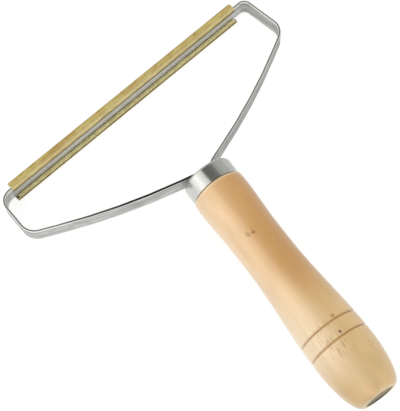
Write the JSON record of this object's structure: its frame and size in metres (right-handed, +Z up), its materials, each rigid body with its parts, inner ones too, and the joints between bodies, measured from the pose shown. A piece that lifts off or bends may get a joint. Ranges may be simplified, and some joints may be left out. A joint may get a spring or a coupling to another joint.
{
  "type": "lint_brush",
  "caption": "Lint brush: a brass edged head on a bent flat steel loop frame, set in a steel ferrule on a turned wooden handle with grooves near its butt.",
  "frame": {"origin": "middle of the bounding box at its base, on the surface that the brush lies on", "axes": "+X along the head, +Y from the handle to the head, +Z up"},
  "size_m": [0.1408, 0.1652, 0.0358],
  "materials": {
    "varnished_wood": "satin varnish",
    "polished_steel": "polished",
    "satin_steel": "brushed lengthwise",
    "brass_sheet": "satin",
    "brass_wire": "drawn wire",
    "core_steel": "drawn rod"
  },
  "bodies": {
    "root": {"handle": "varnished_wood", "ferrule": "polished_steel", "frame_strip": "satin_steel", "upper_sheet": "brass_sheet", "lower_sheet": "brass_sheet", "upper_core": "core_steel", "lower_core": "core_steel", "upper_winding": "brass_wire", "lower_winding": "brass_wire"}
  },
  "joints": []
}
